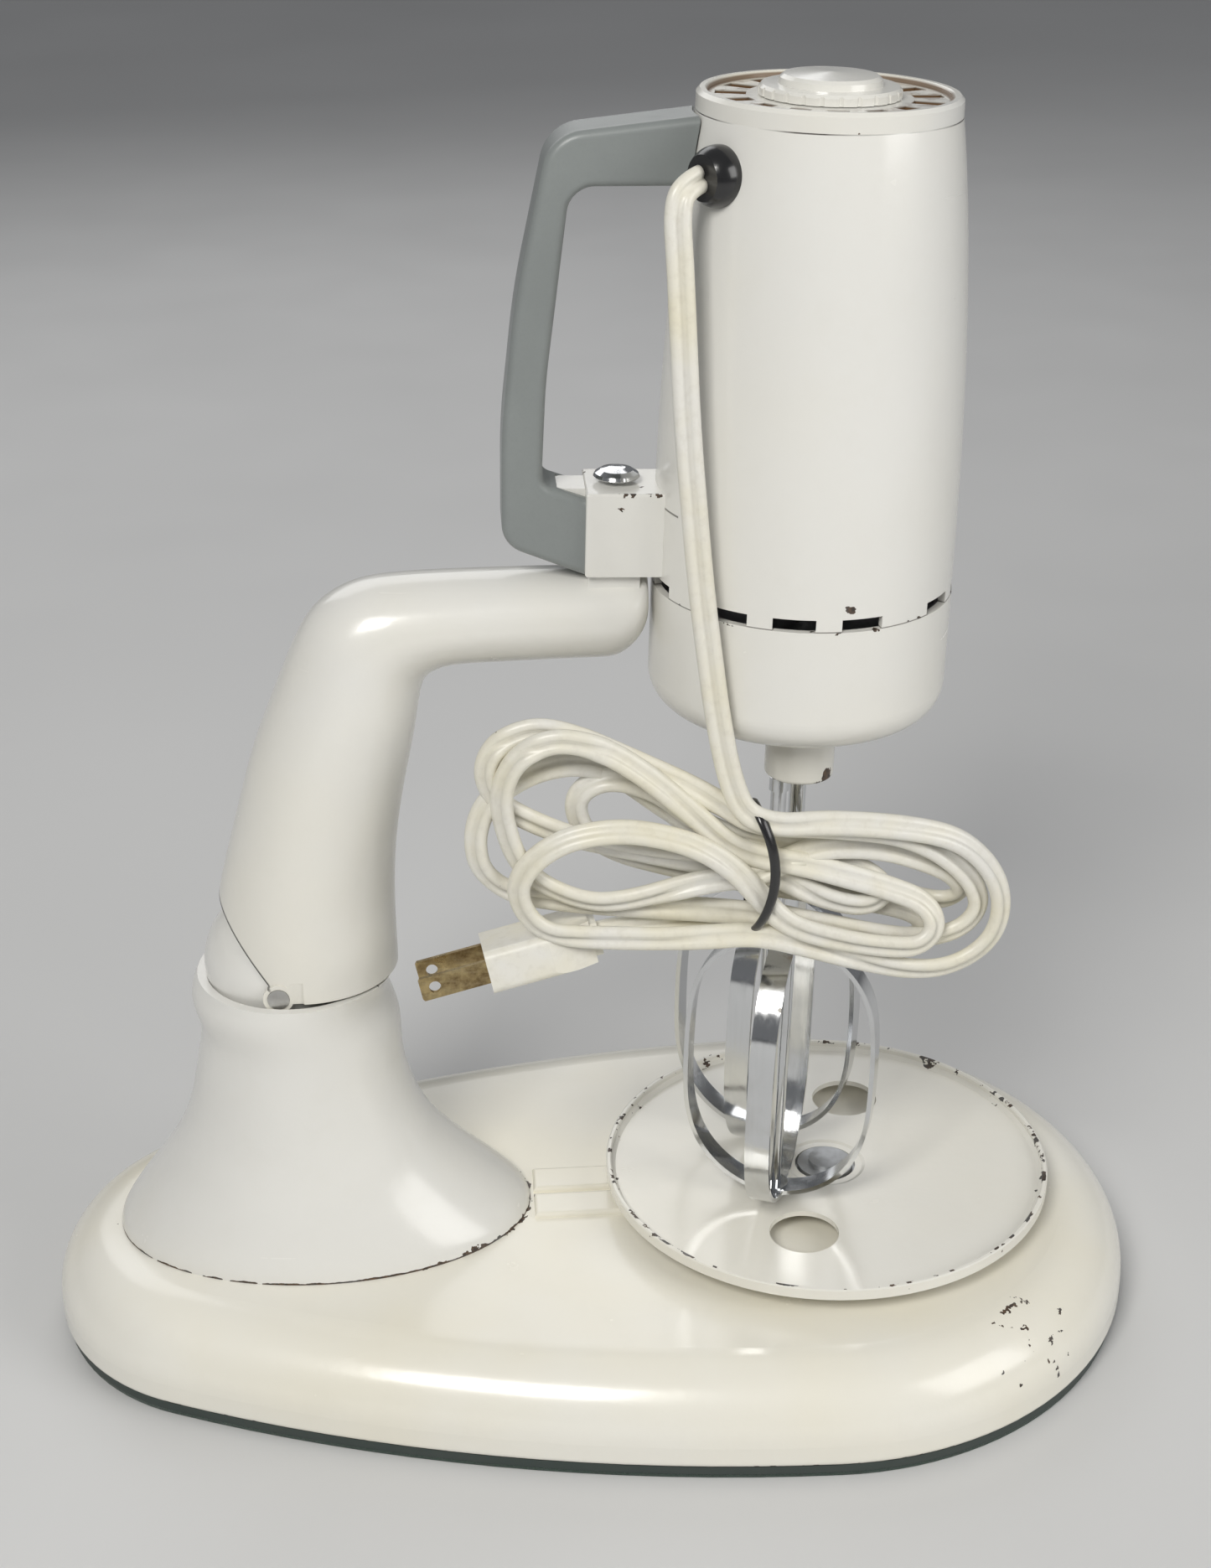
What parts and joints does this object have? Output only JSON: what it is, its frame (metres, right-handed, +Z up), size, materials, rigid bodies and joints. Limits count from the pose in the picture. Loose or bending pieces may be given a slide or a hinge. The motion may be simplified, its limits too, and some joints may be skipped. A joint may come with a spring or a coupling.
{
  "type": "hand mixer on stand",
  "caption": "Upright hand mixer with a looped grey handle, docked on a white tilting stand with a turntable; meshed beaters below and a tied flat cord with a plug.",
  "frame": {"origin": "centre of the base outline on the floor, measured without the cord", "axes": "+X from the column to the turntable along the base, +Y away from the side the cord hangs on, +Z up"},
  "size_m": [0.3184, 0.192, 0.3554],
  "materials": {
    "white_enamel": "gloss white enamel",
    "white_plastic": "gloss white plastic",
    "grey_plastic": "satin grey plastic",
    "chrome": "polished chrome",
    "steel": "plain steel",
    "zinc": "plated steel",
    "felt": "dark green felt",
    "black_rubber": "gloss black",
    "cord_vinyl": "white vinyl",
    "brass": "tarnished brass",
    "copper": "enamelled copper",
    "lamination": "steel laminations",
    "carbon": "carbon",
    "phenolic": "moulded phenolic",
    "bronze": "sintered bronze",
    "nylon": "nylon"
  },
  "bodies": {
    "stand": {"base_shell": "white_enamel", "base_plate": "zinc", "base_felt": "felt", "base_screws": "zinc", "column": "white_enamel", "knuckle": "white_enamel", "column_screws": "zinc", "tilt_pin": "steel", "turntable_spindle": "zinc", "spindle_bolt": "zinc", "spindle_nut": "zinc"},
    "turntable": {"turntable": "white_enamel", "turntable_hub": "zinc"},
    "arm": {"arm": "white_enamel"},
    "mixer": {"motor_housing": "white_enamel", "gear_case": "white_enamel", "top_cap": "white_enamel", "handle_near": "grey_plastic", "handle_far": "grey_plastic", "handle_screws": "steel", "handle_bracket": "white_enamel", "bracket_screw": "steel", "button_spring": "steel", "strain_relief": "black_rubber", "stator_core": "lamination", "field_coils": "copper", "gear_plate": "zinc", "lower_bearing": "bronze", "upper_bracket": "zinc", "upper_bearing": "bronze", "motor_studs": "steel", "brush_holders": "brass", "brushes": "carbon", "brush_springs": "brass", "speed_switch": "phenolic", "jack_shaft": "steel", "spindle_bushes": "bronze", "cord_lead": "cord_vinyl", "cord_hank": "cord_vinyl", "cord_tail": "cord_vinyl", "cord_tie": "black_rubber", "plug_body": "cord_vinyl", "plug_blades": "brass"},
    "button": {"release_button": "chrome"},
    "dial": {"speed_dial": "white_plastic"},
    "rotor": {"armature_shaft": "steel", "armature_core": "lamination", "armature_windings": "copper", "commutator": "copper", "fan": "phenolic"},
    "jack": {"jack_gear": "nylon"},
    "near_beater": {"spindle_near": "steel", "beater_near": "chrome"},
    "far_beater": {"spindle_far": "steel", "beater_far": "chrome"}
  },
  "joints": [
    {"name": "arm_tilt", "type": "hinge", "parent": "stand", "child": "arm", "pos_m": [-0.0864, 0, 0.1155], "axis": [0, -1, 0], "range_deg": [0, 45]},
    {"name": "turntable_spin", "type": "hinge", "parent": "stand", "child": "turntable", "pos_m": [0.0702, 0, 0.036], "axis": [0, 0, 1], "continuous": true},
    {"name": "mixer_lift_off", "type": "slide", "parent": "arm", "child": "mixer", "axis": [0.0349, 0, 0.9994], "range_m": [0, 0.04]},
    {"name": "release_button_press", "type": "slide", "parent": "mixer", "child": "button", "axis": [-0.0349, 0, -0.9994], "range_m": [0, 0.0011], "stiffness_N_per_m": 60},
    {"name": "speed_dial_turn", "type": "hinge", "parent": "mixer", "child": "dial", "pos_m": [0.06301, 0, 0.35018], "axis": [-0.0349, 0, -0.9994], "range_deg": [0, 300]},
    {"name": "armature_spin", "type": "hinge", "parent": "mixer", "child": "rotor", "pos_m": [0.0598, 0, 0.25824], "axis": [0.0349, 0, 0.9994], "continuous": true},
    {"name": "jack_gear_spin", "type": "hinge", "parent": "mixer", "child": "jack", "pos_m": [0.03846, 0.00537, 0.19895], "axis": [0.0349, 0, 0.9994], "continuous": true},
    {"name": "far_beater_spin", "type": "hinge", "parent": "mixer", "child": "far_beater", "pos_m": [0.05771, 0.016, 0.19827], "axis": [0.0349, 0, 0.9994], "continuous": true},
    {"name": "near_beater_spin", "type": "hinge", "parent": "mixer", "child": "near_beater", "pos_m": [0.05771, -0.016, 0.19827], "axis": [0.0349, 0, 0.9994], "continuous": true}
  ],
  "couplings": [
    {"joint": "jack_gear_spin", "follows": "armature_spin", "ratio": -0.25},
    {"joint": "far_beater_spin", "follows": "armature_spin", "ratio": 0.09375},
    {"joint": "near_beater_spin", "follows": "armature_spin", "ratio": -0.09375}
  ]
}
